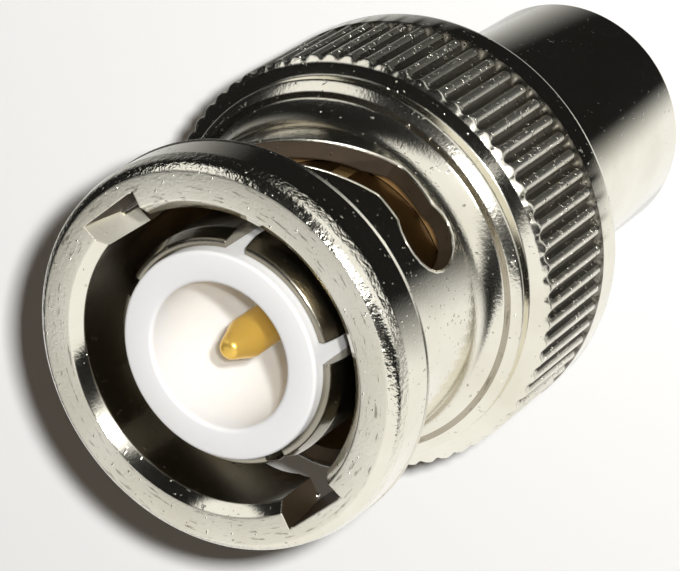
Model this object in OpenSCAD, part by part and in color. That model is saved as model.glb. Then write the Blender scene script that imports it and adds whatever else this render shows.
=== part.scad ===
// Coaxial bayonet terminator plug: a turned coupling nut that spins on a plug body, with a
// resistor closed in by a plain end cap. The plug stands on the cap's flat end, mating face up.
// All sizes are millimetres. The axis is Z, and Z = 0 is the cap's end face.

/* [Coupling nut] */
// Length of the nut from its rear face to its front face
nut_l = 14.4; // [13:0.1:16]
// Outer diameter of the front ring
ring_d = 13.2; // [12.8:0.1:13.8]
// Length of the front ring
ring_l = 1.95; // [1.6:0.05:2.4]
// Diameter of the bore that takes the mating shell
bore_d = 9.8; // [9.7:0.05:9.95]
// Outer diameter of the neck behind the ring
neck_d = 11.1; // [10.9:0.1:11.6]
// Outer diameter of the plain band in front of the knurl
band_d = 13.2; // [12.6:0.1:13.8]
// Length of the plain band
band_l = 0.75; // [0.6:0.05:1.6]
// Chamfer on the plain band's front edge
band_chamfer = 0.1; // [0.05:0.05:0.2]
// Radius of the fillet between neck and plain band
neck_fillet = 0.5; // [0.2:0.05:0.6]
// Width of the outer chamfer on the ring's face
face_chamfer = 0.4; // [0.2:0.05:0.6]
// Length of that chamfer along the axis
face_chamfer_l = 0.7; // [0.4:0.05:1]
// Width of the chamfer at the bore's mouth
mouth_chamfer = 0.35; // [0.2:0.05:0.5]

/* [Knurled collar] */
// Outer diameter over the knurl
knurl_d = 14.5; // [14:0.1:15]
// Length of the collar, knurl and rear rim together
collar_l = 5.5; // [4.2:0.1:6.2]
// Length of the plain rim behind the grooves
rim_l = 1.2; // [0.8:0.1:1.8]
// Number of grooves
groove_count = 66; // [48:1:68]
// Width of one groove
groove_w = 0.42; // [0.3:0.02:0.44]
// Depth of one groove
groove_depth = 0.26; // [0.16:0.02:0.34]
// Chamfer on the collar's front edge
collar_chamfer = 0.2; // [0.1:0.02:0.4]
// Radius on the collar's rear edge
collar_round = 0.35; // [0.15:0.05:0.6]

/* [Bayonet slots] */
// Width of the entry notch in the ring
notch_w = 2.3; // [2.2:0.05:2.5]
// Diameter across the floors of the two notches
notch_floor_d = 11.4; // [11.2:0.1:11.8]
// Width of the sloping cam slot
cam_w = 2.12; // [2.05:0.01:2.2]
// Diameter of the resting pocket at the end of the slot
pocket_d = 2.6; // [2.3:0.05:2.8]
// Depth from the front face to the notch's end centre
entry_depth = 2.75; // [2.6:0.05:3.2]
// Depth from the front face to the slot's deepest centre
cam_depth = 5.9; // [5.4:0.05:6]
// Depth from the front face to the pocket's centre
pocket_depth = 5.7; // [5.2:0.05:5.8]
// Turn from the notch to the slot's deepest point, in degrees
cam_turn = 74; // [66:1:78]
// Turn from the notch to the pocket, in degrees
pocket_turn = 95; // [90:1:98]

/* [Mating parts] */
// Outer diameter of the spring-finger sleeve
contact_d = 7.9; // [7.6:0.05:8.05]
// Wall of the spring-finger sleeve
contact_wall = 0.45; // [0.4:0.05:0.6]
// Outer diameter at the finger tips
finger_tip_d = 7.5; // [7.3:0.05:7.6]
// Length of the taper behind the finger tips
finger_tip_l = 0.6; // [0.4:0.05:1]
// Radius on the finger tips' outer edge
finger_tip_round = 0.1; // [0.05:0.01:0.12]
// Setback of the finger tips from the nut's front face
contact_setback = 0.8; // [0.5:0.1:1.4]
// Number of slots in the sleeve
finger_slots = 5; // [4:1:6]
// Turn of the first slot from the nut's notch, in degrees
finger_turn = -47; // [-60:1:60]
// Width of one slot
finger_slot_w = 0.72; // [0.5:0.02:0.9]
// Length of one slot
finger_slot_l = 6.4; // [5:0.1:7]
// Bore of the white insulator
insulator_bore_d = 4.86; // [4.8:0.02:5]
// Depth of that bore
insulator_bore_l = 6.2; // [5.6:0.1:6.8]
// Height that the insulator's face stands in front of the finger tips
insulator_proud = 0.4; // [0:0.05:0.6]
// Diameter of the centre pin
pin_d = 1.35; // [1.3:0.01:1.38]
// Setback of the pin's tip from the nut's front face
pin_setback = 0.95; // [0.6:0.05:2]
// Length of the pin's tapered nose
pin_nose_l = 1.15; // [0.8:0.05:1.6]
// Diameter of the pin's rounded tip
pin_tip_d = 0.62; // [0.4:0.02:0.8]
// Diameter of the pin where the insulator holds it
pin_root_d = 1.8; // [1.7:0.05:2]
// Diameter of the collar that locks the pin between the two insulators
pin_collar_d = 2.4; // [2.2:0.1:2.8]
// Length of that collar
pin_collar_l = 0.8; // [0.5:0.1:1.2]
// Diameter of the pin's solder cup
pin_cup_d = 1.8; // [1.7:0.05:2]
// Length of the solder cup
pin_cup_l = 2.2; // [1.6:0.1:2.6]
// Depth of the hole in the solder cup
cup_bore_l = 1.5; // [1:0.1:1.5]
// Gap that solder fills around the lead
solder_gap = 0.13; // [0.08:0.01:0.18]

/* [Plug body] */
// Outer diameter of the body's shank
shank_d = 7.9; // [7.6:0.1:8.2]
// Bore through the shank
shank_bore_d = 6.4; // [5.6:0.1:6.6]
// Length of the flange that the spring pushes on
body_flange_l = 1.5; // [1.2:0.1:2]
// Thickness of the ledge in the flange that the finger sleeve sits on
ledge_l = 0.4; // [0.3:0.05:0.6]
// Length of the shank inside the cap
shank_tail_l = 4.6; // [3:0.1:5.5]
// Length of the rear insulator behind the pin's cup
rear_insulator_l = 1; // [0.6:0.1:1.2]
// Thickness of the gasket ring
gasket_l = 0.7; // [0.4:0.05:1]

/* [Spring and retainer] */
// Thickness of the flat thrust washer
thrust_l = 0.3; // [0.2:0.05:0.5]
// Thickness of the wave washer's strip
wave_t = 0.22; // [0.15:0.01:0.3]
// Height of the wave washer at rest
wave_h = 1; // [0.8:0.05:1.3]
// Number of waves
wave_count = 3; // [3:1:4]
// Thickness of the snap ring
snap_l = 0.5; // [0.4:0.05:0.7]
// Depth of the snap ring's groove in the shank
snap_groove = 0.4; // [0.25:0.05:0.45]
// Height that the snap ring stands out of the shank
snap_stand = 0.4; // [0.3:0.05:0.5]
// Gap between the snap ring's ends
snap_gap = 1.6; // [1:0.1:3]
// Length of the nut's inner shoulder
shoulder_l = 1.4; // [1:0.1:1.8]

/* [End cap] */
// Outer diameter of the cap
cap_d = 8.9; // [8.6:0.1:9.2]
// Length of cap that shows behind the nut
cap_show_l = 11.4; // [11:0.1:14]
// Thickness of the cap's end wall
cap_end_t = 0.9; // [0.6:0.1:1.4]
// Radius on the cap's end edge
cap_round = 0.2; // [0.1:0.05:0.5]
// Depth of the snap ring behind the nut's rear face
cap_reach = 0.75; // [0.5:0.05:1]

/* [Resistor] */
// Diameter of the resistor's rod
rod_d = 2.3; // [1.8:0.1:2.8]
// Length of the resistor over its metal ends
resistor_l = 6.4; // [5:0.1:7]
// Wall of the resistor's metal ends
ferrule_wall = 0.14; // [0.1:0.02:0.2]
// Length of one metal end
ferrule_l = 1.3; // [1:0.1:1.8]
// Diameter of the wire leads
lead_d = 0.6; // [0.5:0.02:0.7]
// Length of the rear lead between resistor and earth disc
rear_lead_l = 2; // [1.6:0.1:2.6]
// Wall of the insulating sleeve
sleeve_wall = 0.3; // [0.2:0.05:0.5]
// Length that the sleeve stands past each end of the resistor
sleeve_over = 0.5; // [0.2:0.1:1]
// Thickness of the earth disc
earth_l = 0.6; // [0.4:0.1:1]
// Diameter of the solder fillet on the earth disc
earth_fillet_d = 2.2; // [1.4:0.1:3]
// Height of that fillet up the lead
earth_fillet_l = 0.5; // [0.3:0.05:1]

/* [Clearances] */
// Radial gap of pressed and pushed-in pieces
snug = 0.02; // [0.01:0.005:0.03]
// Radial gap where the nut turns on the body
turn_gap = 0.15; // [0.1:0.01:0.2]
// Gap along the axis between the nut's stack of washers
stack_gap = 0.05; // [0.03:0.01:0.08]

/* [Hidden] */
$fn = 96;

// A cut runs this far past the face that it opens
over = 1;

// Heights of the nut
nut_z0 = cap_show_l;
nut_z1 = nut_z0 + nut_l;
ring_z0 = nut_z1 - ring_l;
collar_z1 = nut_z0 + collar_l;
band_z1 = collar_z1 + band_l;
groove_z0 = nut_z0 + rim_l;

// Heights of the stack that holds the nut, from the snap ring forward
snap_z0 = nut_z0 + cap_reach;
shoulder_z0 = snap_z0 + snap_l + stack_gap;
shoulder_z1 = shoulder_z0 + shoulder_l;
thrust_z0 = shoulder_z1 + stack_gap;
wave_z0 = thrust_z0 + thrust_l + snug;
flange_z0 = wave_z0 + wave_h + snug;
flange_z1 = flange_z0 + body_flange_l;

// Heights of the mating parts
contact_z1 = nut_z1 - contact_setback;
seat_z = flange_z0 + ledge_l;
insulator_z1 = contact_z1 + insulator_proud;
floor_z = insulator_z1 - insulator_bore_l;
pin_z1 = nut_z1 - pin_setback;

// Heights of the cap and the resistor
cap_z1 = snap_z0 - stack_gap;
tail_z0 = cap_z1 - shank_tail_l;
earth_z1 = cap_end_t + earth_l;
resistor_z0 = earth_z1 + rear_lead_l;
resistor_z1 = resistor_z0 + resistor_l;

// Radii
bore_r = bore_d / 2;
neck_r = neck_d / 2;
shank_r = shank_d / 2;
shoulder_r = shank_r + turn_gap;
flange_r = bore_r - turn_gap;
snap_r = shank_r + snap_stand;
recess_r = max(snap_r, cap_d / 2) + 2 * turn_gap;
contact_r = contact_d / 2;
contact_bore_r = contact_r - contact_wall;
finger_tip_r = finger_tip_d / 2;
insulator_r = contact_bore_r - snug;
cap_bore_r = shank_r + snug;
ferrule_r = rod_d / 2 + snug + ferrule_wall;

// Places of the pin's cup and of the lead in it
pin_collar_r = pin_collar_d / 2;
pin_root_r = pin_root_d / 2;
pin_cup_r = pin_cup_d / 2;
lead_r = lead_d / 2;
cup_bore_r = lead_r + solder_gap;
cup_z0 = seat_z - pin_cup_l;
lead_top_z = cup_z0 + cup_bore_l - solder_gap;
rear_insulator_z0 = cup_z0 - rear_insulator_l;

// Straight runs that one cam slot is made of
cam_runs = 4;
// Steps around the wave washer
wave_steps = 60;

module turned() {
    rotate_extrude() children();
}

module tube_profile(r0, r1, z0, z1) {
    translate([r0, z0]) square([r1 - r0, z1 - z0]);
}

module concave_fillet(r) {
    difference() {
        square(r);
        translate([r, r]) circle(r);
    }
}

module round_slot(length, width) {
    square([length, width], center = true);
    for (side = [-1, 1])
        translate([side * length / 2, 0]) circle(d = width);
}

// Places a cutter so that it points out along the radius at a turn from the notch, at a depth
module at_slot(turn, depth) {
    rotate([0, 0, -turn])
        translate([bore_r - over, 0, nut_z1 - depth])
            rotate([0, 90, 0])
                linear_extrude(notch_floor_d / 2 - bore_r + over) children();
}

// One straight stretch of slot between two places on the neck
module slot_run(turn_a, depth_a, turn_b, depth_b) {
    arc = (turn_b - turn_a) * PI / 180 * neck_r;
    drop = depth_b - depth_a;
    at_slot((turn_a + turn_b) / 2, (depth_a + depth_b) / 2)
        rotate(-atan2(arc, drop))
            round_slot(norm([arc, drop]), cam_w);
}

// Depth of the cam slot's centre at the start of one of its runs
function cam_depth_at(run) = entry_depth + run * (cam_depth - entry_depth) / cam_runs;

module bayonet_slot() {
    translate([bore_r - over, -notch_w / 2, nut_z1 - entry_depth])
        cube([notch_floor_d / 2 - bore_r + over, notch_w, entry_depth + over]);
    at_slot(0, entry_depth) circle(d = notch_w);
    for (i = [0:cam_runs - 1])
        slot_run(
            i * cam_turn / cam_runs,
            cam_depth_at(i),
            (i + 1) * cam_turn / cam_runs,
            cam_depth_at(i + 1)
        );
    slot_run(cam_turn, cam_depth, pocket_turn, pocket_depth);
    at_slot(pocket_turn, pocket_depth) circle(d = pocket_d);
}

module knurl_groove() {
    groove_r = groove_w / 2;
    translate([knurl_d / 2 - groove_depth + groove_r, 0, 0]) {
        translate([0, 0, groove_z0 + groove_r])
            cylinder(r = groove_r, h = collar_z1 - groove_z0 - groove_r + over);
        translate([0, 0, groove_z0 + groove_r]) sphere(groove_r);
    }
}

module nut_profile() {
    knurl_r = knurl_d / 2;
    ring_r = ring_d / 2;
    polygon([
        [recess_r, nut_z0],
        [knurl_r - collar_round, nut_z0],
        [knurl_r, nut_z0 + collar_round],
        [knurl_r, collar_z1 - collar_chamfer],
        [knurl_r - collar_chamfer, collar_z1],
        [band_d / 2, collar_z1],
        [band_d / 2, band_z1 - band_chamfer],
        [band_d / 2 - band_chamfer, band_z1],
        [neck_r, band_z1],
        [neck_r, ring_z0],
        [ring_r, ring_z0],
        [ring_r, nut_z1 - face_chamfer_l],
        [ring_r - face_chamfer, nut_z1],
        [bore_r + mouth_chamfer, nut_z1],
        [bore_r, nut_z1 - mouth_chamfer],
        [bore_r, shoulder_z1],
        [shoulder_r, shoulder_z1],
        [shoulder_r, shoulder_z0],
        [recess_r, shoulder_z0]
    ]);
    translate([knurl_r - collar_round, nut_z0 + collar_round]) circle(collar_round);
    translate([neck_r, band_z1]) concave_fillet(neck_fillet);
}

module coupling_nut() {
    color("silver")
        difference() {
            turned() nut_profile();
            for (turn = [0, 180])
                rotate([0, 0, turn]) bayonet_slot();
            for (i = [0:groove_count - 1])
                rotate([0, 0, (i + 0.5) * 360 / groove_count]) knurl_groove();
        }
}

module plug_body() {
    color("darkgray")
        turned()
            difference() {
                union() {
                    tube_profile(shank_bore_d / 2, shank_r, tail_z0, flange_z0 + snug);
                    tube_profile(shank_bore_d / 2, flange_r, flange_z0, flange_z1);
                }
                tube_profile(0, contact_r + snug, seat_z, flange_z1 + over);
                tube_profile(
                    shank_r - snap_groove,
                    shank_r + over,
                    snap_z0 - snug,
                    snap_z0 + snap_l + snug
                );
            }
}

module outer_contact() {
    color("gainsboro")
        difference() {
            turned() {
                polygon([
                    [contact_bore_r, seat_z],
                    [contact_r, seat_z],
                    [contact_r, contact_z1 - finger_tip_l],
                    [finger_tip_r, contact_z1 - finger_tip_round],
                    [finger_tip_r - finger_tip_round, contact_z1],
                    [contact_bore_r, contact_z1]
                ]);
                translate([finger_tip_r - finger_tip_round, contact_z1 - finger_tip_round])
                    circle(finger_tip_round);
            }
            for (i = [0:finger_slots - 1])
                rotate([0, 0, finger_turn + i * 360 / finger_slots])
                    translate([0, -finger_slot_w / 2, contact_z1 - finger_slot_l])
                        cube([contact_r + over, finger_slot_w, finger_slot_l + over]);
        }
}

module front_insulator() {
    color("white")
        turned()
            difference() {
                tube_profile(pin_root_r + snug, insulator_r, seat_z, insulator_z1);
                tube_profile(0, insulator_bore_d / 2, floor_z, insulator_z1 + over);
                tube_profile(0, pin_collar_r + snug, seat_z - over, seat_z + pin_collar_l + snug);
            }
}

module rear_insulator() {
    color("white")
        turned()
            difference() {
                tube_profile(lead_r + snug, shank_bore_d / 2 - snug, rear_insulator_z0, seat_z);
                tube_profile(0, pin_cup_r + snug, cup_z0 - snug, seat_z + over);
            }
}

module centre_pin() {
    pin_r = pin_d / 2;
    tip_r = pin_tip_d / 2;
    color("goldenrod")
        turned()
            difference() {
                union() {
                    polygon([
                        [0, cup_z0],
                        [pin_cup_r, cup_z0],
                        [pin_cup_r, seat_z],
                        [pin_collar_r, seat_z],
                        [pin_collar_r, seat_z + pin_collar_l],
                        [pin_root_r, seat_z + pin_collar_l],
                        [pin_root_r, floor_z],
                        [pin_r, floor_z],
                        [pin_r, pin_z1 - pin_nose_l],
                        [tip_r, pin_z1 - tip_r],
                        [0, pin_z1 - tip_r]
                    ]);
                    translate([0, pin_z1 - tip_r])
                        intersection() {
                            circle(tip_r);
                            square(tip_r);
                        }
                }
                tube_profile(0, cup_bore_r, cup_z0 - over, cup_z0 + cup_bore_l);
            }
}

module gasket() {
    color("peru")
        turned()
            tube_profile(contact_r + snug, flange_r - snug, flange_z1, flange_z1 + gasket_l);
}

module thrust_washer() {
    color("lightsteelblue")
        turned()
            tube_profile(shoulder_r, flange_r, thrust_z0, thrust_z0 + thrust_l);
}

// Corners of the wave washer's strip at one turn: inner and outer, below and above
function wave_corners(turn) =
    let (
        low = wave_z0 + (wave_h - wave_t) / 2 * (1 - cos(wave_count * turn)),
        inner = shoulder_r + turn_gap,
        outer = flange_r - turn_gap
    )
    [for (corner = [[inner, low], [outer, low], [outer, low + wave_t], [inner, low + wave_t]])
        [corner[0] * cos(turn), corner[0] * sin(turn), corner[1]]];

module wave_washer() {
    points = [for (i = [0:wave_steps - 1]) each wave_corners(i * 360 / wave_steps)];
    faces = [
        for (i = [0:wave_steps - 1])
            for (k = [0:3])
                let (
                    a = 4 * i + k,
                    b = 4 * i + (k + 1) % 4,
                    c = 4 * ((i + 1) % wave_steps) + (k + 1) % 4,
                    d = 4 * ((i + 1) % wave_steps) + k
                )
                each [[a, b, c], [a, c, d]]
    ];
    color("lightsteelblue") polyhedron(points, faces);
}

module snap_ring() {
    color("slategray")
        difference() {
            turned() tube_profile(shank_r - snap_groove + snug, snap_r, snap_z0, snap_z0 + snap_l);
            translate([0, -snap_gap / 2, snap_z0 - over])
                cube([snap_r + over, snap_gap, snap_l + 2 * over]);
        }
}

module resistor_rod() {
    color("steelblue")
        turned()
            tube_profile(0, rod_d / 2, resistor_z0 + ferrule_wall, resistor_z1 - ferrule_wall);
}

module ferrule() {
    turned()
        difference() {
            tube_profile(0, ferrule_r, 0, ferrule_l);
            tube_profile(0, rod_d / 2 + snug, ferrule_wall, ferrule_l + over);
        }
}

module resistor_front_ferrule() {
    color("silver") translate([0, 0, resistor_z1]) mirror([0, 0, 1]) ferrule();
}

module resistor_rear_ferrule() {
    color("silver") translate([0, 0, resistor_z0]) ferrule();
}

module front_lead() {
    color("lightgray")
        translate([0, 0, resistor_z1]) cylinder(d = lead_d, h = lead_top_z - resistor_z1);
}

module rear_lead() {
    color("lightgray")
        translate([0, 0, cap_end_t + snug]) cylinder(d = lead_d, h = resistor_z0 - cap_end_t - snug);
}

module pin_solder() {
    color("gray")
        turned()
            tube_profile(lead_r, cup_bore_r, cup_z0, lead_top_z);
}

module earth_disc() {
    color("darkgoldenrod")
        turned()
            tube_profile(lead_r + snug, cap_bore_r - snug, cap_end_t, earth_z1);
}

module earth_solder() {
    color("gray")
        turned()
            translate([lead_r, earth_z1])
                polygon([[0, 0], [earth_fillet_d / 2 - lead_r, 0], [0, earth_fillet_l]]);
}

module insulating_sleeve() {
    color("ivory")
        turned()
            tube_profile(
                ferrule_r + snug,
                ferrule_r + snug + sleeve_wall,
                resistor_z0 - sleeve_over,
                resistor_z1 + sleeve_over
            );
}

module end_cap() {
    cap_r = cap_d / 2;
    color("silver")
        turned()
            difference() {
                union() {
                    polygon([
                        [0, 0],
                        [cap_r - cap_round, 0],
                        [cap_r, cap_round],
                        [cap_r, cap_z1],
                        [0, cap_z1]
                    ]);
                    translate([cap_r - cap_round, cap_round]) circle(cap_round);
                }
                tube_profile(0, cap_bore_r, cap_end_t, cap_z1 + over);
            }
}

coupling_nut();
plug_body();
outer_contact();
front_insulator();
rear_insulator();
centre_pin();
gasket();
thrust_washer();
wave_washer();
snap_ring();
resistor_rod();
resistor_front_ferrule();
resistor_rear_ferrule();
front_lead();
rear_lead();
pin_solder();
earth_disc();
earth_solder();
insulating_sleeve();
end_cap();
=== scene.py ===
# %% [markdown]
# # A coaxial bayonet terminator
# This small plug closes the end of a coaxial line. A nickel-plated nut with a knurled collar turns on
# a plug body. In its mouth sit five spring fingers, a white PTFE tube and a gold pin, and a plain cap
# behind it holds the resistor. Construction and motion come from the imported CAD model, which is
# loaded first and never moved. This file adds the finer shapes and the finishes.

# %% Load the fixed frame
import math

import bmesh
import bpy
from mathutils import Matrix, Vector, geometry


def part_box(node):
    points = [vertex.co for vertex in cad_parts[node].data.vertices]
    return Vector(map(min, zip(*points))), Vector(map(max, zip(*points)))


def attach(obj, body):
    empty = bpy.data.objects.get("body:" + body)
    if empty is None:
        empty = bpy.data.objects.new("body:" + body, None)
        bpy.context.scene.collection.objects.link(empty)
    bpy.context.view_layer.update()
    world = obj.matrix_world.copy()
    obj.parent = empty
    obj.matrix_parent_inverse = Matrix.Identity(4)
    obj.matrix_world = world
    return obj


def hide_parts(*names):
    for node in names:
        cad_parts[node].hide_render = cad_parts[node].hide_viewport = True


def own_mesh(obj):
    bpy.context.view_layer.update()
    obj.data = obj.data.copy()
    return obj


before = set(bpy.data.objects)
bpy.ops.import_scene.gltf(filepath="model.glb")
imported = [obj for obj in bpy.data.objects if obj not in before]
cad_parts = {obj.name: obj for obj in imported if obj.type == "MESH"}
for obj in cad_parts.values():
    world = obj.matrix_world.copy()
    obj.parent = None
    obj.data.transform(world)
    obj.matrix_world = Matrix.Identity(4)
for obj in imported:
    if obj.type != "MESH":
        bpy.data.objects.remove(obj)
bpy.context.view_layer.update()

MM, UM = 1e-3, 1e-6

# %% [markdown]
# ## Turning shapes
# Nearly every piece of a connector is cut on a lathe, so its form is an outline spun round the axis.
# Blender's Spin or Screw tools would do it. A grid made by hand is as short, and it lets a piece change
# its radius on the way round, which is how the knurl is cut later. No real edge is perfectly sharp, so
# each corner of an outline has its own small radius: that is what catches the light.

# %% Outline with rounded corners
NEARLY_ZERO = 1e-6


def softened(corners, steps=4):
    """Points of a closed outline in mm, from corners given as (radius from axis, height, rounding)."""
    points = []
    for i, (r, z, rounding) in enumerate(corners):
        here = Vector((r, z))
        to_last = (Vector(corners[i - 1][:2]) - here).normalized()
        to_next = (Vector(corners[(i + 1) % len(corners)][:2]) - here).normalized()
        middle = to_last + to_next
        if rounding == 0 or middle.length < NEARLY_ZERO:
            points.append(here)
            continue
        half_angle = to_last.angle(to_next) / 2
        centre = here + middle.normalized() * rounding / math.sin(half_angle)
        start = here + to_last * rounding / math.tan(half_angle) - centre
        end = here + to_next * rounding / math.tan(half_angle) - centre
        sweep = math.atan2(start.x * end.y - start.y * end.x, start.dot(end))
        for step in range(steps + 1):
            turn = sweep * step / steps
            points.append(centre + Matrix.Rotation(turn, 2) @ start)
    return points


# %% Make a piece from points
WELD_MM, SHARP_DEG = 1e-4, 34


def finish_mesh(piece):
    """Welds the poles, turns faces outward and leaves only true corners sharp."""
    made = bmesh.new()
    made.from_mesh(piece.data)
    bmesh.ops.remove_doubles(made, verts=made.verts, dist=WELD_MM * MM)
    bmesh.ops.dissolve_degenerate(made, edges=made.edges, dist=WELD_MM * MM)
    bmesh.ops.recalc_face_normals(made, faces=made.faces)
    made.to_mesh(piece.data)
    made.free()
    piece.data.shade_smooth()
    piece.data.set_sharp_from_angle(angle=math.radians(SHARP_DEG))
    return piece


def new_piece(name, points, faces):
    """An object from points in mm and faces that index them."""
    mesh = bpy.data.meshes.new(name)
    mesh.from_pydata([Vector(p) * MM for p in points], [], faces)
    piece = bpy.data.objects.new(name, mesh)
    bpy.context.scene.collection.objects.link(piece)
    return finish_mesh(piece)


# %% Spin an outline
def even_turns(count):
    """Angles that share a full turn evenly."""
    return [math.tau * i / count for i in range(count)]


def turned(name, outline, turns, shape=lambda r, z, turn: (r, z)):
    """Spins an outline round the axis. shape may move a point on its way round."""
    points, faces = [], []
    rows = len(outline)
    for turn in turns:
        for p in outline:
            r, z = shape(p.x, p.y, turn)
            points.append((r * math.cos(turn), r * math.sin(turn), z))
    for i in range(len(turns)):
        here, after = i * rows, (i + 1) % len(turns) * rows
        for k in range(rows):
            k2 = (k + 1) % rows
            faces.append((here + k, after + k, after + k2, here + k2))
    return new_piece(name, points, faces)


# %% Cut a piece
def cut_away(piece, cutter):
    """Takes the cutter's space out of a piece, then deletes the cutter."""
    cut = piece.modifiers.new("cut", "BOOLEAN")
    cut.operation = "DIFFERENCE"
    cut.solver = "EXACT"
    cut.object = cutter
    seen = piece.evaluated_get(bpy.context.evaluated_depsgraph_get())
    result = bpy.data.meshes.new_from_object(seen)
    piece.modifiers.remove(cut)
    piece.data = result
    bpy.data.objects.remove(cutter)
    return finish_mesh(piece)


# %% [markdown]
# ## The coupling nut
# On the real plug this is one turned piece of brass: a front ring with two entry notches, a neck with
# two sloping cam slots that end in round pockets, a plain band, and a collar with straight knurling.
# The outline is spun first. The knurl could be a bump in the material, but its ribs break the collar's
# edge against the light, so they are real. A wheel rolled them in, so ribs and troughs are both round.

# %% Sizes of the nut
nut_low, nut_high = (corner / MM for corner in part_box("coupling_nut"))
NUT_REAR, NUT_FRONT, KNURL_R = nut_low.z, nut_high.z, nut_high.x
RING_R, RING_LENGTH, NECK_R, BORE_R = 6.6, 1.95, 5.55, 4.9
FACE_CHAMFER, FACE_CHAMFER_LENGTH, MOUTH_CHAMFER = 0.4, 0.7, 0.35
CROWN, CROWN_LENGTH, CROWN_ROUND, LIP = 0.26, 0.24, 0.4, 0.04
BAND_R, BAND_LENGTH, BAND_EDGE, BAND_EDGE_LENGTH = 6.6, 0.75, 0.32, 0.24
FLARE, FLARE_LENGTH, FLARE_ROUND = 0.5, 0.42, 1.45
COLLAR_LENGTH, RIM_LENGTH, COLLAR_ROUND = 5.5, 1.2, 0.35
COLLAR_CHAMFER, BEAD, BEAD_LENGTH = 0.3, 0.22, 0.16
SHOULDER_R, SHOULDER_REAR, SHOULDER_FRONT, RECESS_R = 4.1, 1.3, 2.7, 4.75
GROOVES, GROOVE_HALF, GROOVE_DEPTH, GROOVE_END, GROOVE_RISE = 66, 0.31, 0.24, 0.3, 0.5
EDGE, SOFT_EDGE, HIDDEN_EDGE, LIP_EDGE = 0.06, 0.12, 0.04, 0.015

collar_front = NUT_REAR + COLLAR_LENGTH
band_front = collar_front + BAND_LENGTH
groove_rear = NUT_REAR + RIM_LENGTH
ring_rear = NUT_FRONT - RING_LENGTH
half_pitch = math.pi * KNURL_R / GROOVES
print(f"nut {NUT_REAR:.1f} to {NUT_FRONT:.1f} mm, {2 * KNURL_R:.1f} mm over the knurl")


# %% Grooves of the knurl
def groove_depth(z, turn):
    """Depth of the rolled groove at a place on the collar: deepest in the middle, none on a rib."""
    across = KNURL_R * (turn % (math.tau / GROOVES)) - half_pitch
    along = max(0, groove_rear + GROOVE_END - z) * GROOVE_HALF / GROOVE_END
    away = min(1, math.hypot(across, along) / GROOVE_HALF)
    rise = max(0, z - (collar_front - COLLAR_CHAMFER - GROOVE_END)) / GROOVE_END
    return GROOVE_DEPTH * math.cos(away * math.pi / 2) ** 2 * (1 - GROOVE_RISE * min(1, rise))


def knurled(r, z, turn):
    """A point of the nut's outline, pressed in where a groove is."""
    on_collar = groove_rear <= z <= collar_front and r > BAND_R
    return (min(r, KNURL_R - groove_depth(z, turn)), z) if on_collar else (r, z)


STEPS_ACROSS, STEPS_ALONG, ROWS_BACK = 12, 5, 1.3
front_rows = collar_front - COLLAR_CHAMFER - ROWS_BACK * GROOVE_END
groove_rows = [
    (KNURL_R, start + GROOVE_END * step / STEPS_ALONG, 0)
    for start in (groove_rear, front_rows)
    for step in range(STEPS_ALONG + 1)
]
print(f"{GROOVES} grooves, {2 * half_pitch:.2f} mm apart")

# %% Spin the nut with its knurl
nut_outline = softened([
    (RECESS_R, NUT_REAR, HIDDEN_EDGE),
    (KNURL_R, NUT_REAR, COLLAR_ROUND),
    *groove_rows,
    (KNURL_R, collar_front - COLLAR_CHAMFER, SOFT_EDGE),
    (KNURL_R - BEAD, collar_front - COLLAR_CHAMFER + BEAD_LENGTH, EDGE),
    (BAND_R, collar_front, HIDDEN_EDGE),
    (BAND_R, band_front - BAND_EDGE_LENGTH - EDGE, SOFT_EDGE),
    (BAND_R - BAND_EDGE, band_front - EDGE, SOFT_EDGE),
    (NECK_R + FLARE, band_front, SOFT_EDGE),
    (NECK_R, band_front + FLARE_LENGTH, FLARE_ROUND),
    (NECK_R, ring_rear, HIDDEN_EDGE),
    (RING_R, ring_rear, LIP_EDGE),
    (RING_R, ring_rear + LIP, LIP_EDGE),
    (RING_R - LIP, ring_rear + 2 * LIP, LIP_EDGE),
    (RING_R - LIP, NUT_FRONT - FACE_CHAMFER_LENGTH, CROWN_ROUND),
    (RING_R - FACE_CHAMFER + CROWN, NUT_FRONT - CROWN_LENGTH, CROWN_ROUND),
    (RING_R - FACE_CHAMFER, NUT_FRONT, SOFT_EDGE),
    (BORE_R + MOUTH_CHAMFER, NUT_FRONT, EDGE),
    (BORE_R, NUT_FRONT - MOUTH_CHAMFER, EDGE),
    (BORE_R, NUT_REAR + SHOULDER_FRONT, HIDDEN_EDGE),
    (SHOULDER_R, NUT_REAR + SHOULDER_FRONT, HIDDEN_EDGE),
    (SHOULDER_R, NUT_REAR + SHOULDER_REAR, HIDDEN_EDGE),
    (RECESS_R, NUT_REAR + SHOULDER_REAR, HIDDEN_EDGE),
])
nut = turned("bayonet_nut", nut_outline, even_turns(STEPS_ACROSS * GROOVES), knurled)
print("nut before its slots:", len(nut.data.polygons), "faces")

# %% [markdown]
# ### Bayonet slots
# A cutter milled these slots while the nut turned under it. The outline is drawn flat, as on paper
# wrapped round the neck, then bent round the axis into a solid that is taken out of the nut. A Boolean
# suits this better than modelling the hole by hand, because the slot passes under the front ring. The
# cutter also pushed up a fine burr along the slots' edges. It is a thin bead that catches the light.

# %% Slot outline on the unrolled neck
NOTCH_W, NOTCH_FLOOR_R, CAM_W, POCKET_R = 2.3, 5.7, 2.12, 1.3
ENTRY_DEPTH, CAM_DEPTH, POCKET_DEPTH = 2.75, 5.9, 5.7
CAM_TURN, POCKET_TURN = math.radians(74), math.radians(95)
# Cutters reach this far past the metal, in mm.
PAST = 1.0


def heading(v):
    """Direction of a flat vector, as an angle in radians."""
    return math.atan2(v.y, v.x)


def arc(centre, radius, start, end, steps=14):
    """Points of an arc between two directions, which are angles in radians."""
    return [
        centre + radius * Vector((math.cos(a), math.sin(a)))
        for a in (start + (end - start) * i / steps for i in range(steps + 1))
    ]


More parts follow.
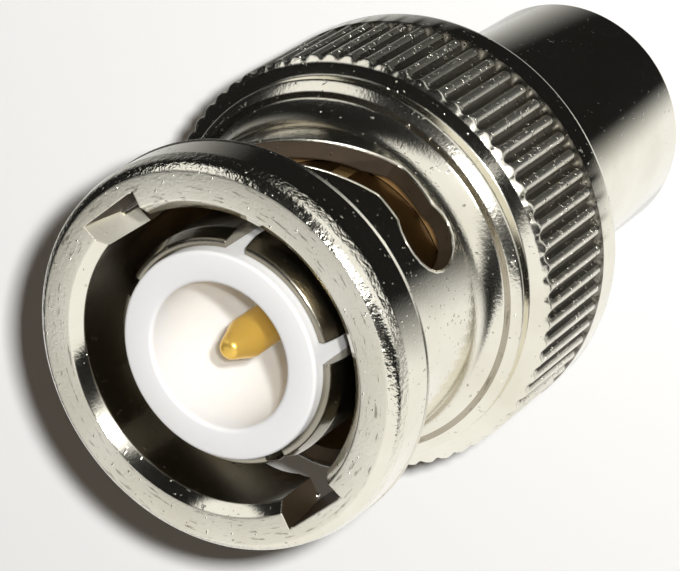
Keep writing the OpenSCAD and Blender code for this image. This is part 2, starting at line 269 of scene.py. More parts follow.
def slot_outline():
    """Corners of one slot as (distance round the neck, depth from the front face), in mm."""
    half_notch, half_cam = NOTCH_W / 2, CAM_W / 2
    entry = Vector((0, ENTRY_DEPTH))
    deepest = Vector((NECK_R * CAM_TURN, CAM_DEPTH))
    pocket = Vector((NECK_R * POCKET_TURN, POCKET_DEPTH))
    down = (deepest - entry).normalized()
    back = (pocket - deepest).normalized()
    down_side, back_side = down.orthogonal(), back.orthogonal()
    leave = entry + half_cam * down_side + math.sqrt(half_notch**2 - half_cam**2) * down
    neck_in = math.sqrt(POCKET_R**2 - half_cam**2)
    pocket_in = half_cam * back_side - neck_in * back
    pocket_out = -half_cam * back_side - neck_in * back
    inner_turn = down_side + back_side
    inner = deepest - inner_turn * half_cam * 2 / inner_turn.length_squared
    meet = entry - half_cam * down_side
    meet += down * (half_notch - meet.x) / down.x
    return [
        Vector((-half_notch, -PAST)),
        *arc(entry, half_notch, math.pi, heading(leave - entry)),
        *arc(deepest, half_cam, heading(down_side), heading(back_side), steps=6),
        *arc(pocket, POCKET_R, heading(pocket_in), heading(pocket_out)),
        inner,
        meet,
        Vector((half_notch, -PAST)),
    ]


slot = slot_outline()
print("slot outline:", len(slot), "points")

# %% Bend the outline into a cutter and cut both slots
# Inside the ring, a notch's floor falls this far towards the rear, in mm.
NOTCH_RAMP = 0.2
KEEP_INSIDE = 1


def slot_cutter(outline, spacing=0.25):
    """A solid that follows the neck: the slot's outline between the bore and the notch's floor."""
    most = [max(p[axis] for p in outline) for axis in (0, 1)]
    least = [min(p[axis] for p in outline) for axis in (0, 1)]
    columns, rows = [int((most[k] - least[k]) / spacing) for k in (0, 1)]
    inside = [
        Vector((least[0] + spacing * (i + 0.5), least[1] + spacing * (k + 0.5)))
        for i in range(columns)
        for k in range(rows)
    ]
    flat, _, triangles, *_ = geometry.delaunay_2d_cdt(
        outline + inside, [], [list(range(len(outline)))], KEEP_INSIDE, NEARLY_ZERO
    )
    border = len(outline)
    points, faces = [], []
    for half in (0, math.pi):
        for is_floor, base_r in ((False, BORE_R - PAST), (True, NOTCH_FLOOR_R)):
            start = len(points)
            for p in flat:
                turn = p.x / NECK_R
                r = base_r
                if is_floor and abs(p.x) <= NOTCH_W:
                    r /= math.cos(turn)
                if is_floor and 0 < p.y < RING_LENGTH:
                    r -= NOTCH_RAMP * p.y / RING_LENGTH
                points.append((r * math.cos(half - turn), r * math.sin(half - turn), NUT_FRONT - p.y))
            faces += [tuple(start + i for i in t) for t in triangles]
        low, high = len(points) - 2 * len(flat), len(points) - len(flat)
        for i in range(border):
            k = (i + 1) % border
            faces.append((low + i, low + k, high + k, high + i))
    return new_piece("slot_cutter", points, faces)


cut_away(nut, slot_cutter(slot))
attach(nut, "nut")
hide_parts("coupling_nut")
print("nut with its slots:", len(nut.data.polygons), "faces")

# %% Burr along the slots
BURR_R, BURR_PROUD, BURR_SIDES = 0.06, 0.03, 8


def spaced(points, spacing=0.2):
    """The same path with points added, so that none are further apart than the spacing."""
    path = []
    for here, after in zip(points, points[1:]):
        steps = max(1, math.ceil((after - here).length / spacing))
        path += [here.lerp(after, step / steps) for step in range(steps)]
    return path + points[-1:]


def burr(name, outline, half):
    """The thin bead that the cutter pushed up along a slot's edge on the neck."""
    first, last = (Vector((p.x, RING_LENGTH)) for p in (outline[0], outline[-1]))
    path = spaced([first, *outline[1:-1], last])
    points, faces = [], []
    for i, p in enumerate(path):
        along = path[min(i + 1, len(path) - 1)] - path[max(i - 1, 0)]
        side = along.orthogonal().normalized()
        for k in range(BURR_SIDES):
            around = math.tau * k / BURR_SIDES
            flat = p + side * BURR_R * math.cos(around)
            turn = half - flat.x / NECK_R
            r = NECK_R + BURR_PROUD - BURR_R + BURR_R * math.sin(around)
            points.append((r * math.cos(turn), r * math.sin(turn), NUT_FRONT - flat.y))
    for i in range(len(path) - 1):
        for k in range(BURR_SIDES):
            k2 = (k + 1) % BURR_SIDES
            here, after = i * BURR_SIDES, (i + 1) * BURR_SIDES
            faces.append((here + k, here + k2, after + k2, after + k))
    end = (len(path) - 1) * BURR_SIDES
    faces += [tuple(range(BURR_SIDES)), tuple(range(end, end + BURR_SIDES))]
    bead = new_piece(name, points, faces)
    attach(bead, "nut")
    return bead


burrs = [burr(f"slot_burr_{i + 1}", slot, half) for i, half in enumerate((0, math.pi))]
print("burr faces:", [len(bead.data.polygons) for bead in burrs])

# %% [markdown]
# ## Spring fingers
# The outer contact is a thin sleeve sawn into five fingers, which press outward into the mating shell.
# It is spun as a tube with a tapered, rounded tip, and five saw cuts are then taken out of it.

# %% Spin the sleeve
sleeve_low, sleeve_high = (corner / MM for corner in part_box("outer_contact"))
SLEEVE_R, SLEEVE_WALL, SLEEVE_SIDES = 3.95, 0.45, 200
TIP_R, TIP_LENGTH, TIP_ROUND, TIP_BLEND = 3.75, 0.6, 0.1, 0.48

sleeve_inner = SLEEVE_R - SLEEVE_WALL
sleeve = turned("finger_sleeve", softened([
    (sleeve_inner, sleeve_low.z, HIDDEN_EDGE),
    (SLEEVE_R, sleeve_low.z, HIDDEN_EDGE),
    (SLEEVE_R, sleeve_high.z - TIP_LENGTH, TIP_BLEND),
    (TIP_R, sleeve_high.z, TIP_ROUND),
    (sleeve_inner, sleeve_high.z, EDGE),
]), even_turns(SLEEVE_SIDES))
print(f"sleeve {2 * SLEEVE_R:.1f} mm wide, {sleeve_high.z - sleeve_low.z:.1f} mm long")

# %% Five saw cuts
CUTS, CUT_W, CUT_LENGTH, FIRST_CUT = 5, 0.72, 6.4, math.radians(-47)
BAR_FACES = ((0, 1, 3, 2), (4, 6, 7, 5), (0, 4, 5, 1), (2, 3, 7, 6), (0, 2, 6, 4), (1, 5, 7, 3))


def saw_cuts():
    """Five bars that reach outward through the sleeve's wall."""
    points, faces = [], []
    for cut in range(CUTS):
        turn = Matrix.Rotation(FIRST_CUT + cut * math.tau / CUTS, 3, "Z")
        start = len(points)
        for r in (sleeve_inner - PAST, SLEEVE_R + PAST):
            for side in (-CUT_W / 2, CUT_W / 2):
                for z in (sleeve_high.z - CUT_LENGTH, sleeve_high.z + PAST):
                    points.append(turn @ Vector((r, side, z)))
        for face in BAR_FACES:
            faces.append([start + corner for corner in face])
    return new_piece("saw_cuts", points, faces)


cut_away(sleeve, saw_cuts())
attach(sleeve, "plug")
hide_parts("outer_contact")
print("finger sleeve:", len(sleeve.data.polygons), "faces")

# %% [markdown]
# ## Insulator, pin and cap
# The PTFE tube was turned from white rod, the pin from brass wire and then plated with gold, and the cap
# was turned and plated like the nut. All three are plain spun outlines. The pin's nose tapers to a small
# ball, so that it finds the socket.

# %% White tube
tube_low, tube_high = (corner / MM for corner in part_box("front_insulator"))
TUBE_BORE_R, TUBE_BORE_DEPTH, TUBE_SIDES = 2.43, 6.2, 160
ROOT_HOLE_R, COLLAR_HOLE_R, COLLAR_HOLE_DEPTH = 0.92, 1.22, 0.82
TUBE_MOUTH_EDGE, TUBE_FLOOR_EDGE = 0.15, 0.24

tube_floor = tube_high.z - TUBE_BORE_DEPTH
tube = turned("ptfe_tube", softened([
    (tube_high.x, tube_low.z, HIDDEN_EDGE),
    (tube_high.x, tube_high.z, SOFT_EDGE),
    (TUBE_BORE_R, tube_high.z, TUBE_MOUTH_EDGE),
    (TUBE_BORE_R, tube_floor, TUBE_FLOOR_EDGE),
    (ROOT_HOLE_R, tube_floor, HIDDEN_EDGE),
    (ROOT_HOLE_R, tube_low.z + COLLAR_HOLE_DEPTH, HIDDEN_EDGE),
    (COLLAR_HOLE_R, tube_low.z + COLLAR_HOLE_DEPTH, HIDDEN_EDGE),
    (COLLAR_HOLE_R, tube_low.z, HIDDEN_EDGE),
]), even_turns(TUBE_SIDES))
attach(tube, "plug")
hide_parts("front_insulator")
print(f"tube bore {2 * TUBE_BORE_R:.2f} mm, {TUBE_BORE_DEPTH} mm deep")

# %% Gold pin
pin_low, pin_high = (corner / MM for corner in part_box("centre_pin"))
PIN_R, PIN_ROOT_R, PIN_COLLAR_R, PIN_COLLAR, PIN_SIDES = 0.675, 0.9, 1.2, 0.8, 96
PIN_TIP_R, PIN_TIP_ROUND, PIN_NOSE, NOSE_BLEND = 0.31, 0.2635, 1.15, 0.48
CUP_R, CUP_LENGTH, CUP_BORE_R, CUP_BORE_DEPTH = 0.9, 2.2, 0.43, 1.5

pin_seat = pin_low.z + CUP_LENGTH
pin = turned("gold_pin", softened([
    (0, pin_low.z + CUP_BORE_DEPTH, 0),
    (CUP_BORE_R, pin_low.z + CUP_BORE_DEPTH, 0),
    (CUP_BORE_R, pin_low.z, HIDDEN_EDGE),
    (CUP_R, pin_low.z, HIDDEN_EDGE),
    (CUP_R, pin_seat, 0),
    (PIN_COLLAR_R, pin_seat, HIDDEN_EDGE),
    (PIN_COLLAR_R, pin_seat + PIN_COLLAR, HIDDEN_EDGE),
    (PIN_ROOT_R, pin_seat + PIN_COLLAR, 0),
    (PIN_ROOT_R, tube_floor, HIDDEN_EDGE),
    (PIN_R, tube_floor, 0),
    (PIN_R, pin_high.z - PIN_NOSE, NOSE_BLEND),
    (PIN_TIP_R, pin_high.z, PIN_TIP_ROUND),
    (0, pin_high.z, 0),
], steps=6), even_turns(PIN_SIDES))
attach(pin, "plug")
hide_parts("centre_pin")
print(f"pin tip {NUT_FRONT - pin_high.z:.2f} mm behind the nut's face")

# %% Plain cap
cap_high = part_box("end_cap")[1] / MM
CAP_ROUND, CAP_BORE_R, CAP_END, CAP_SIDES = 0.2, 3.97, 0.9, 200

cap = turned("end_cap_shell", softened([
    (0, 0, 0),
    (cap_high.x, 0, CAP_ROUND),
    (cap_high.x, cap_high.z, EDGE),
    (CAP_BORE_R, cap_high.z, HIDDEN_EDGE),
    (CAP_BORE_R, CAP_END, HIDDEN_EDGE),
    (0, CAP_END, 0),
]), even_turns(CAP_SIDES))
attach(cap, "plug")
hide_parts("end_cap")
print(f"cap {2 * cap_high.x:.1f} mm wide, {cap_high.z:.1f} mm long")

# %% [markdown]
# ## Wave washer
# A thin ring of spring steel with three waves pulls the nut back on the mating lugs. It flattens when the
# nut is drawn forward. Here it is spun with its waves, carried by the plug's body and given a mesh of its
# own.

# %% Washer with three waves
washer_low, washer_high = (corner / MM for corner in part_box("wave_washer"))
WAVES, STRIP_T, STRIP_INNER_R, WASHER_SIDES = 3, 0.22, 4.25, 120

rise = (washer_high.z - washer_low.z - STRIP_T) / 2


def waved(r, z, turn):
    """A point of the flat strip, lifted by the waves."""
    return r, z + rise * (1 - math.cos(WAVES * turn))


washer = turned("wave_spring", softened([
    (STRIP_INNER_R, washer_low.z, HIDDEN_EDGE),
    (washer_high.x, washer_low.z, HIDDEN_EDGE),
    (washer_high.x, washer_low.z + STRIP_T, HIDDEN_EDGE),
    (STRIP_INNER_R, washer_low.z + STRIP_T, HIDDEN_EDGE),
], steps=2), even_turns(WASHER_SIDES), waved)
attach(washer, "plug")
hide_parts("wave_washer")

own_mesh(washer)

# %% [markdown]
# ## Finishes
# Each material is a small tree of nodes. One function adds a node, sets its values and links its inputs.
# Colours are written as sRGB hex, as a paint program shows them, and turned to linear light once.


# %% Node and colour helpers
def node(tree, kind, inputs=None, **settings):
    """Adds a shader node. An input is a number, a colour or another node's output."""
    made = tree.nodes.new("ShaderNode" + kind)
    for name, value in settings.items():
        setattr(made, name, value)
    for name, value in (inputs or {}).items():
        if isinstance(value, bpy.types.NodeSocket):
            tree.links.new(value, made.inputs[name])
        else:
            made.inputs[name].default_value = value
    return made


def linear(hex_colour):
    """Linear colour of an sRGB hex value."""
    channels = [int(hex_colour[i : i + 2], 16) / 255 for i in (1, 3, 5)]
    return [c / 12.92 if c <= 0.04045 else ((c + 0.055) / 1.055) ** 2.4 for c in channels] + [1]


def new_material(name):
    """An empty material with its output and shader, and the coordinates of the object."""
    material = bpy.data.materials.new(name)
    material.use_nodes = True
    tree = material.node_tree
    tree.nodes.clear()
    shader = node(tree, "BsdfPrincipled")
    node(tree, "OutputMaterial", {"Surface": shader.outputs["BSDF"]})
    place = node(tree, "TexCoord").outputs["Object"]
    return material, tree, shader, place


# %% [markdown]
# ### Nickel plate
# Bright nickel over turned brass is a warm, pale grey mirror. The plating follows the tool marks below it,
# which run round the axis, and it grows a fine grain and a few nodules, so that highlights break up into
# sparks. Tool marks are noise that varies quickly with radius and height and slowly with the turn. The
# real grain is near 0.02 mm, too fine to show, so it is drawn at 0.1 mm. Use has changed the plating from
# place to place: the face is scratched and satin, and the ring's outer chamfer is knocked about. Plating
# current hardly reaches into a bore or a slot, so the nickel is thin there, and tarnished brass makes the
# slots browner. Some tones are painted shade: the knurl's grooves, the band's front step, the bore and the
# slots are made darker. One notch's walls, rubbed by the lugs, are paler than the other's, a painted light.

# %% Nickel plate material
# Some of these tones are darker to paint shade: in the grooves, on the band's front step, in the bore and in
# the slots.
NICKEL, STEP_SHADE_NICKEL = ("#F4F0E2", "#E8E3D2"), ("#BBB3A2", "#A89F8C")
TARNISH_AND_SLOT_SHADE, GROOVE_SHADE = ("#4F4130", "#3B2F20"), ("#8A857A", "#6F6A5E")
BORE_SHADE_NICKEL, BRASSY, SCRATCH = ("#A8A294", "#938D7E"), ("#C9A86C", "#6B5433"), "#6E675A"
LATHE_MM, LATHE_TURN, GRAIN_MM, TONE_MM, TONE_RANGE = 0.12, 0.14, 0.1, 3, (0.35, 0.65)
SPECK_MM, SPECK_FROM, SPECK_STEP, SPECK_ROUGHNESS, SPECK_SEED = 0.14, 0.68, 0.12, 0.1, 3
SCRATCH_FULL, SCRATCH_NONE, BEVEL_MM = 0.66, 0.58, 0.08


def nickel_plate(
    name, tones, roughness, lathe_um, grain_um, speck_um,
    scratched=0, metallic=1, grain_mm=GRAIN_MM, speck_from=SPECK_FROM,
):
    """Nickel with marks, grain and specks of a given height in thousandths of a mm."""
    material, tree, shader, place = new_material(name)
    flat = node(tree, "VectorMath", {0: place, 1: (1, 1, 0)}, operation="MULTIPLY")
    radius = node(tree, "VectorMath", {0: flat.outputs[0]}, operation="LENGTH").outputs["Value"]
    parts = node(tree, "SeparateXYZ", {0: place})
    turn = node(tree, "Math", {0: parts.outputs["Y"], 1: parts.outputs["X"]}, operation="ARCTAN2")
    slow = node(tree, "Math", {0: turn.outputs[0], 1: LATHE_MM * MM / LATHE_TURN}, operation="MULTIPLY")
    round_axis = node(tree, "CombineXYZ", {"X": radius, "Y": parts.outputs["Z"], "Z": slow.outputs[0]})
    marks = node(
        tree, "TexNoise",
        {"Vector": round_axis.outputs[0], "Scale": 1 / (LATHE_MM * MM), "Detail": 3, "Roughness": 0.6},
    ).outputs["Fac"]
    grain = node(
        tree, "TexNoise", {"Vector": place, "Scale": 1 / (grain_mm * MM), "Detail": 2, "Roughness": 0.55}
    ).outputs["Fac"]
    specks = node(
        tree, "TexNoise",
        {"Vector": place, "Scale": 1 / (SPECK_MM * MM), "Detail": 1, "W": SPECK_SEED},
        noise_dimensions="4D",
    ).outputs["Fac"]
    specks = node(
        tree, "MapRange",
        {"Value": specks, "From Min": speck_from, "From Max": speck_from + SPECK_STEP},
        interpolation_type="SMOOTHSTEP",
    ).outputs[0]
    tone = node(tree, "TexNoise", {"Vector": place, "Scale": 1 / (TONE_MM * MM), "Detail": 4}).outputs["Fac"]
    tone = node(
        tree, "MapRange", {"Value": tone, "From Min": TONE_RANGE[0], "From Max": TONE_RANGE[1]}
    ).outputs[0]
    clean = node(
        tree, "MixRGB", {"Fac": tone, "Color1": linear(tones[0]), "Color2": linear(tones[1])}
    ).outputs[0]
    scratches = node(
        tree, "MapRange",
        {
            "Value": marks, "From Min": SCRATCH_FULL, "From Max": SCRATCH_NONE,
            "To Min": scratched, "To Max": 0,
        },
    ).outputs[0]
    colour = node(tree, "MixRGB", {"Fac": scratches, "Color1": clean, "Color2": linear(SCRATCH)})
    rough = node(
        tree, "MapRange", {"Value": grain, "To Min": roughness[0], "To Max": roughness[1]}
    ).outputs[0]
    rough = node(tree, "MapRange", {"Value": specks, "To Min": rough, "To Max": SPECK_ROUGHNESS})
    normal = node(tree, "Bevel", {"Radius": BEVEL_MM * MM}, samples=4).outputs[0]
    for height, microns in ((marks, lathe_um), (grain, grain_um), (specks, speck_um)):
        normal = node(
            tree, "Bump", {"Height": height, "Distance": microns * UM, "Normal": normal}
        ).outputs[0]
    shader.inputs["Metallic"].default_value = metallic
    tree.links.new(colour.outputs[0], shader.inputs["Base Color"])
    tree.links.new(rough.outputs[0], shader.inputs["Roughness"])
    tree.links.new(normal, shader.inputs["Normal"])
    return material


# %% Nickel as each place wears it
# A clean mirror, with hard borders between black and white.
bright = nickel_plate("nickel plate, turned bright", NICKEL, (0.07, 0.13), 1, 2, 10)
# The calmest mirror, for the plain cap.
smooth = nickel_plate("nickel plate, fine turned", NICKEL, (0.07, 0.12), 0.4, 0.4, 6)
# A satin grey with short dark scratches that run round the face.
worn = nickel_plate("nickel plate, worn face", NICKEL, (0.28, 0.42), 3, 5, 20, scratched=0.65)
# A mirror with small dents, so an edge shows as a line of sparks.
nicked = nickel_plate("nickel plate, nicked edge", NICKEL, (0.12, 0.2), 0, 5, 30)
# Close, deep dents that break a reflection into crumbs.
hammered = nickel_plate("nickel plate, knocked chamfer", NICKEL, (0.1, 0.17), 0, 26, 20, grain_mm=0.16)
# Satin ribs with many bright nodules.
rolled = nickel_plate("nickel plate, rolled ribs", NICKEL, (0.28, 0.42), 0, 8, 60, speck_from=0.6)
# Dark grey troughs, a painted shade in the knurl's grooves, with a nodule here and there.
painted_groove_shade = nickel_plate("nickel plate, grimy groove", GROOVE_SHADE, (0.3, 0.45), 0, 8, 60, speck_from=0.62)
# Grey and soft nickel, darker to paint the shade on the band's front step.
painted_step_shade = nickel_plate("nickel plate, dull corner", STEP_SHADE_NICKEL, (0.16, 0.26), 2, 3, 20, scratched=0.6)
# A darker mirror: the brass shows through thin nickel, and the darker tone paints the shade in the bore.
thin = nickel_plate("nickel plate, thin, with painted shade in the bore", BORE_SHADE_NICKEL, (0.16, 0.26), 1, 2, 15)
# A golden glow deep in the slots.
brassy = nickel_plate("nickel plate, worn to the brass", BRASSY, (0.3, 0.45), 1, 4, 15, metallic=0.55)
# Matt brown walls of tarnished brass, made dark to paint the shade in the slots.
milled = nickel_plate("brass, milled and tarnished, with painted slot shade", TARNISH_AND_SLOT_SHADE, (0.5, 0.65), 0, 4, 10, metallic=0.5)
# A pale, chalky wall, rubbed by the lugs; it is given to one notch only, where its paleness paints the
# light.
scuffed_and_lit = nickel_plate("nickel plate, scuffed notch", NICKEL, (0.4, 0.55), 0, 6, 20, metallic=0.35)
finishes = [bright, worn, nicked, hammered, rolled, painted_groove_shade, painted_step_shade, thin, milled, scuffed_and_lit]
print("finishes of the nut:", [material.name for material in finishes])

# %% Give each surface of the nut its finish
FACES_FRONT, LEANS_FRONT, FACES_AXIS, FACES_SIDE = 0.95, 0.1, -0.9, 0.3


def nut_finish(face):
    """The finish that a face of the nut has, from its place and direction."""
    r = math.hypot(face.center.x, face.center.y) / MM
    z = face.center.z / MM
    outward = (face.normal.x * face.center.x + face.normal.y * face.center.y) / (r * MM)
    # Notch floors take the dark slot walls, a painted shade.
    if outward < FACES_AXIS and r > BORE_R + MOUTH_CHAMFER:
        return milled
    if z > NUT_FRONT - FACE_CHAMFER_LENGTH and r > BORE_R + EDGE:
        return worn if face.normal.z > FACES_FRONT else hammered if outward > 0 else bright
    # The bore takes the darker nickel, which paints the shade there.
    if r < BORE_R + EDGE:
        return thin
    # One notch's walls are pale and the other's dark brown: lit and shaded copies, painted light and shade.
    if abs(outward) < FACES_SIDE and r < NOTCH_FLOOR_R:
        return scuffed_and_lit if z > ring_rear and face.center.x > 0 else milled
    if r > BAND_R + EDGE and groove_rear < z < collar_front - COLLAR_CHAMFER:
        # Troughs and groove ends take a dark grey, a painted shade in the knurl.
        at_end = z < groove_rear + GROOVE_END
        return painted_groove_shade if at_end or r < KNURL_R - GROOVE_DEPTH / 2 else rolled
    if r > BAND_R + EDGE and z > collar_front - COLLAR_CHAMFER:
        return nicked if r > KNURL_R - BEAD - EDGE else bright
    # The band's front step takes a darker grey, a painted shade.
    if face.normal.z > FACES_FRONT:
        return painted_step_shade
    return nicked if face.normal.z > LEANS_FRONT else bright


for material in finishes:
    nut.data.materials.append(material)
for face in nut.data.polygons:
    face.material_index = finishes.index(nut_finish(face))
used = [face.material_index for face in nut.data.polygons]
print("nut faces by finish:", [used.count(i) for i in range(len(finishes))])

# %% Nickel on the sleeve, cap and burrs
ROOT_TOP = 19.3
# The fingers take the same darker nickel, a painted shade between nut and sleeve.
for material in (thin, brassy):
    sleeve.data.materials.append(material)
for face in sleeve.data.polygons:
    face.material_index = int(face.center.z < ROOT_TOP * MM)
cap.data.materials.append(smooth)
for bead in burrs:
    bead.data.materials.append(nicked)
print("brassy faces of the sleeve:", sum(face.material_index for face in sleeve.data.polygons))

# %% [markdown]
# ### PTFE, gold and the rest
# PTFE is a milky white that lets light in a little, so it has some subsurface scattering and a soft,
# waxy gloss. Gold plate is a deep yellow metal. The pieces inside can't be seen from outside, but the
# plug comes apart, so each has the finish of its real stuff: silicone, spring steel, lacquer, tin,
# solder, brass and varnished fibre.

# %% Finish with one noise for tone and one for the surface
SHADE_MM = 1.5


def plain_finish(name, colours, roughness, grain_mm, grain_um, metallic=0, **shader_inputs):
    """A material whose tone and surface vary gently, with a grain size in mm and height in um."""
    material, tree, shader, place = new_material(name)
    tone = node(tree, "TexNoise", {"Vector": place, "Scale": 1 / (SHADE_MM * MM), "Detail": 4})
    grain = node(tree, "TexNoise", {"Vector": place, "Scale": 1 / (grain_mm * MM), "Detail": 3})
    colour = node(
        tree, "MixRGB",
        {"Fac": tone.outputs["Fac"], "Color1": linear(colours[0]), "Color2": linear(colours[1])},
    )
    rough = node(
        tree, "MapRange",
        {"Value": grain.outputs["Fac"], "To Min": roughness[0], "To Max": roughness[1]},
    )
    raised = node(tree, "Bump", {"Height": grain.outputs["Fac"], "Distance": grain_um * UM})
    tree.links.new(colour.outputs[0], shader.inputs["Base Color"])
    tree.links.new(rough.outputs[0], shader.inputs["Roughness"])
    tree.links.new(raised.outputs[0], shader.inputs["Normal"])
    shader.inputs["Metallic"].default_value = metallic
    for socket, value in shader_inputs.items():
        shader.inputs[socket.replace("_", " ")].default_value = value
    return material


# %% PTFE and gold
# A milky white with a waxy gloss, in which shadows have soft borders.
ptfe = plain_finish(
    "PTFE, turned", ("#FDFDFD", "#FBFBFA"), (0.38, 0.5), 0.12, 2,
    IOR=1.38, Subsurface_Weight=0.15, Subsurface_Radius=(1, 0.8, 0.5), Subsurface_Scale=0.15 * MM,
)
# A warm yellow with a soft, slightly uneven shine.
gold = plain_finish("gold plate on brass", ("#FFD873", "#F2C253"), (0.26, 0.4), 0.1, 4, metallic=0.6)
tube.data.materials.append(ptfe)
pin.data.materials.append(gold)
print("in the mouth:", ptfe.name, "and", gold.name)

# %% The pieces inside
# A tan rubber, slightly greasy.
silicone = plain_finish(
    "silicone rubber, moulded", ("#BC9461", "#A07A4A"), (0.45, 0.6), 0.15, 6, IOR=1.41
)
# A neutral grey with a soft shine.
spring_steel = plain_finish(
    "spring steel, rolled", ("#9FA0A2", "#8A8B8E"), (0.25, 0.4), 0.05, 2, metallic=1
)
# A glossy blue coat with a faint orange peel.
lacquer = plain_finish(
    "resistor lacquer, dipped", ("#5F93B4", "#4F83A5"), (0.2, 0.32), 0.2, 4, IOR=1.5
)
# Pale and shiny, a little grey.
tinned_steel = plain_finish(
    "tinned steel, pressed", ("#C4C3BE", "#B3B2AC"), (0.22, 0.35), 0.08, 2, metallic=1
)
# The same tin, warmed by the copper below it.
tinned_copper = plain_finish(
    "tinned copper wire, drawn", ("#CBC4B6", "#BBB2A0"), (0.2, 0.34), 0.06, 2, metallic=1
)
# Grey, with the wrinkles of metal that set quickly.
solder = plain_finish("tin solder, set", ("#B4B4B0", "#9D9D99"), (0.2, 0.38), 0.15, 5, metallic=1)
# Plain yellow metal.
brass = plain_finish("brass, stamped", ("#C9A355", "#B58E42"), (0.24, 0.38), 0.06, 2, metallic=1)
# Cream, with coarse threads under a thin varnish.
fibre = plain_finish(
    "glass fibre sleeve, varnished", ("#E4DBBF", "#D5CAA8"), (0.35, 0.5), 0.18, 12, IOR=1.5
)
washer.data.materials.append(spring_steel)
inside = {
    "plug_body": brassy,
    "rear_insulator": ptfe,
    "gasket": silicone,
    "thrust_washer": spring_steel,
    "snap_ring": spring_steel,
    "resistor_rod": lacquer,
    "resistor_front_ferrule": tinned_steel,
    "resistor_rear_ferrule": tinned_steel,
    "front_lead": tinned_copper,
    "rear_lead": tinned_copper,
    "pin_solder": solder,
    "earth_solder": solder,
    "earth_disc": brass,
    "insulating_sleeve": fibre,
}
for name, material in inside.items():
    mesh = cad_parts[name].data
    mesh.materials.clear()
    mesh.materials.append(material)
print("pieces inside:", len(inside))

# %% [markdown]
# ## Camera
# The photograph looks down on the mating face from the side, with the camera rolled so that the plug
# points to the lower left. The view is set by an aim point near the axis, a distance, two angles and the
# roll, which were worked out from the round edges in the picture.

# %% Place the camera
AIM = Vector((-0.32, 0, 17.97)) * MM
DISTANCE = 105.25 * MM
AZIMUTH, ELEVATION, ROLL = (math.radians(a) for a in (0.3, 53.9, 124.5))
FOCAL_PX, IMAGE_W, SENSOR_MM, CLIP_START = 3200, 680, 36, 10 * MM

level_part = math.cos(ELEVATION)
to_camera = Vector((
    math.sin(AZIMUTH) * level_part, -math.cos(AZIMUTH) * level_part, math.sin(ELEVATION)
))
level_up = Vector((0, 0, 1)) - to_camera * to_camera.z
up = Matrix.Rotation(ROLL, 3, -to_camera) @ level_up.normalized()
right = up.cross(to_camera)
camera_data = bpy.data.cameras.new("camera")
camera_data.sensor_fit, camera_data.sensor_width = "HORIZONTAL", SENSOR_MM
camera_data.lens = FOCAL_PX * SENSOR_MM / IMAGE_W
camera_data.clip_start = CLIP_START
camera = bpy.data.objects.new("camera", camera_data)
camera.matrix_world = (
    Matrix.Translation(AIM + to_camera * DISTANCE) @ Matrix((right, up, to_camera)).transposed().to_4x4()
)
bpy.context.scene.collection.objects.link(camera)
bpy.context.scene.camera = camera
print(f"lens {camera_data.lens:.1f} mm")

# %% [markdown]
# ## Studio
# Polished metal shows the room more than itself, so the room is what has to be designed. The plug stands
# on a pale floor. Small lamps close to the camera give clear shadows and sparks, as a flash does. The
# floor has a lamp of its own, because the photographed plug lay nearer to its table and threw a narrower
# shadow. The plug's lamp is further out and shades one side of the bore, and a fill softens that shade.
# What the metal mirrors is painted on the world by direction: a pale wall on one side, a window on the
# other, bright floor in front and dark between them, so that round metal turns from black to white as it
# does in a real studio. The camera sees plain white, and matt surfaces get a dim, warm room.

# %% Floor
FLOOR_HALF, FADE_START, FADE_END = 600, 50, 200
sides = ((-1, -1), (1, -1), (1, 1), (-1, 1))
floor = new_piece("floor", [(x * FLOOR_HALF, y * FLOOR_HALF, 0) for x, y in sides], [(0, 1, 2, 3)])
# A matt, even white that fades to the plain background far from the plug.
plaster = plain_finish("plaster, smooth", ("#FDFDFC", "#FCFCFA"), (0.85, 0.95), 2, 5)
floor.data.materials.append(plaster)
tree = plaster.node_tree
away = node(tree, "VectorMath", {0: node(tree, "TexCoord").outputs["Object"]}, operation="LENGTH")
fade = node(
    tree, "MapRange",
    {"Value": away.outputs["Value"], "From Min": FADE_START * MM, "From Max": FADE_END * MM},
    interpolation_type="SMOOTHSTEP",
).outputs[0]
path = node(tree, "LightPath").outputs
fade = node(tree, "Math", {0: fade, 1: path["Is Camera Ray"]}, operation="MULTIPLY").outputs[0]
white = node(tree, "Emission", {"Color": linear("#FEFEFD"), "Strength": 1})
both = node(
    tree, "MixShader",
    {"Fac": fade, 1: tree.nodes["Principled BSDF"].outputs[0], 2: white.outputs[0]},
)
tree.links.new(both.outputs[0], tree.nodes["Material Output"].inputs["Surface"])
# The metal mirrors the world's own floor tones instead.
floor.visible_glossy = False
print("stage:", floor.name)


# %% Lamps
def flash(name, place_mm, size_mm, watts, on_floor):
    """A lamp right of and above the camera, as bright far as near, for only the floor or only the rest."""
    made = bpy.data.lights.new(name, "AREA")
    made.shape, made.size, made.size_y = "RECTANGLE", size_mm[0] * MM, size_mm[1] * MM
    made.energy = watts
    made.use_nodes = True
    even = node(made.node_tree, "LightFalloff", {"Strength": 1})
    made.node_tree.links.new(even.outputs["Constant"], made.node_tree.nodes["Emission"].inputs["Strength"])
    stand = bpy.data.objects.new(name, made)
    stand.matrix_world = camera.matrix_world @ Matrix.Translation(Vector((*place_mm, 0)) * MM)
    stand.visible_camera = False
    bpy.context.scene.collection.objects.link(stand)
    lit = bpy.data.collections.new(name)
    lit.objects.link(floor)
    lit.collection_objects[0].light_linking.link_state = "INCLUDE" if on_floor else "EXCLUDE"
    stand.light_linking.receiver_collection = lit


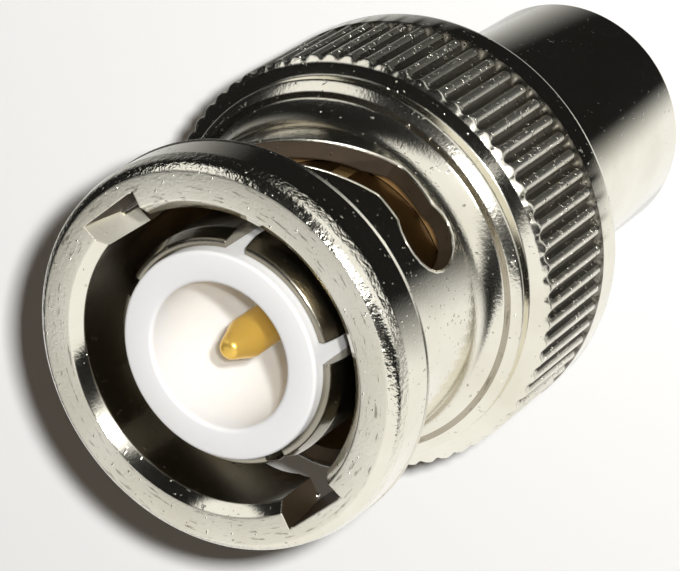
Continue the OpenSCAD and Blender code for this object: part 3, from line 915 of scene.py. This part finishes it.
CLOSE, CLOSE_SIZE = (3.8, 2.1), (2.6, 2.2)
OUT, OUT_SIZE = (11.5, 9), (5, 5)
FLASH_WATTS, FILL_SHARE = 11, 0.4
flash("flash on the floor", CLOSE, CLOSE_SIZE, FLASH_WATTS, on_floor=True)
flash("flash on the plug", OUT, OUT_SIZE, FLASH_WATTS * (1 - FILL_SHARE), on_floor=False)
flash("fill on the plug", CLOSE, CLOSE_SIZE, FLASH_WATTS * FILL_SHARE, on_floor=False)
print("lamps:", [lamp.name for lamp in bpy.data.lights])

# %% World by direction
WALL_SIDE, WALL_EDGE = Vector((-0.87, 0.5, 0.5)), (0.58, 0.66)
WINDOW, WINDOW_EDGE = Vector((0.844, 0.04, 0.534)), (0.94, 0.965)
DARK_START, PALE_START, DARK_END, PALE_END = (math.radians(a) for a in (-24, -74, 78, 200))
HORIZON = (-0.6, -0.15)
AHEAD_EDGE, AHEAD_SLOPE, AHEAD_TOP = (math.radians(43), math.radians(25)), 0.5, (-0.55, -0.35)

world = bpy.data.worlds.new("studio")
world.use_nodes = True
# Mirrored rays find the world by themselves, so it isn't sampled as a lamp.
world.cycles.sampling_method = "NONE"
bpy.context.scene.world = world
sky = world.node_tree
sky.nodes.clear()
towards = node(sky, "TexCoord").outputs["Generated"]
parts = node(sky, "SeparateXYZ", {0: towards}).outputs
front = node(sky, "Math", {0: parts["Y"], 1: -1}, operation="MULTIPLY").outputs[0]
turn = node(sky, "Math", {0: parts["X"], 1: front}, operation="ARCTAN2").outputs[0]
to_wall, to_window = (
    node(sky, "VectorMath", {0: towards, 1: place}, operation="DOT_PRODUCT").outputs["Value"]
    for place in (WALL_SIDE, WINDOW)
)
aside = node(sky, "Math", {0: turn}, operation="ABSOLUTE").outputs[0]
aside = node(sky, "Math", {0: parts["Z"], 1: AHEAD_SLOPE, 2: aside}, operation="MULTIPLY_ADD").outputs[0]
wall, window, left, right_side, level, ahead, near = (
    node(
        sky, "MapRange", {"Value": value, "From Min": start, "From Max": end},
        interpolation_type="SMOOTHSTEP",
    ).outputs[0]
    for value, (start, end) in (
        (to_wall, WALL_EDGE),
        (to_window, WINDOW_EDGE),
        (turn, (DARK_START, PALE_START)),
        (turn, (DARK_END, PALE_END)),
        (parts["Z"], HORIZON),
        (aside, AHEAD_EDGE),
        (parts["Z"], AHEAD_TOP),
    )
)
print("world nodes for direction:", len(sky.nodes))

# %% World with a pale side and a dark side
DARKEST, ROOM_STRENGTH = 0.012, 0.06
above = node(sky, "Math", {0: wall, 1: window}, operation="MAXIMUM").outputs[0]
below = node(sky, "Math", {0: left, 1: right_side}, operation="MAXIMUM").outputs[0]
close_by = node(sky, "Math", {0: ahead, 1: near}, operation="MULTIPLY").outputs[0]
path = node(sky, "LightPath").outputs
glow = node(sky, "MapRange", {"Value": level, "To Min": below, "To Max": above}).outputs[0]
for least in (close_by, DARKEST, path["Is Camera Ray"]):
    glow = node(sky, "Math", {0: glow, 1: least}, operation="MAXIMUM").outputs[0]
seen = path["Is Camera Ray"]
for ray in ("Is Glossy Ray", "Is Transmission Ray"):
    seen = node(sky, "Math", {0: seen, 1: path[ray]}, operation="MAXIMUM").outputs[0]
mirrored = node(sky, "Background", {"Color": linear("#FEFEFD"), "Strength": glow}).outputs[0]
room = node(sky, "Background", {"Color": linear("#FFE9D2"), "Strength": ROOM_STRENGTH}).outputs[0]
both = node(sky, "MixShader", {"Fac": seen, 1: room, 2: mirrored}).outputs[0]
node(sky, "OutputWorld", {"Surface": both})
bpy.context.scene.view_settings.view_transform = "Standard"
print("world nodes:", len(sky.nodes))
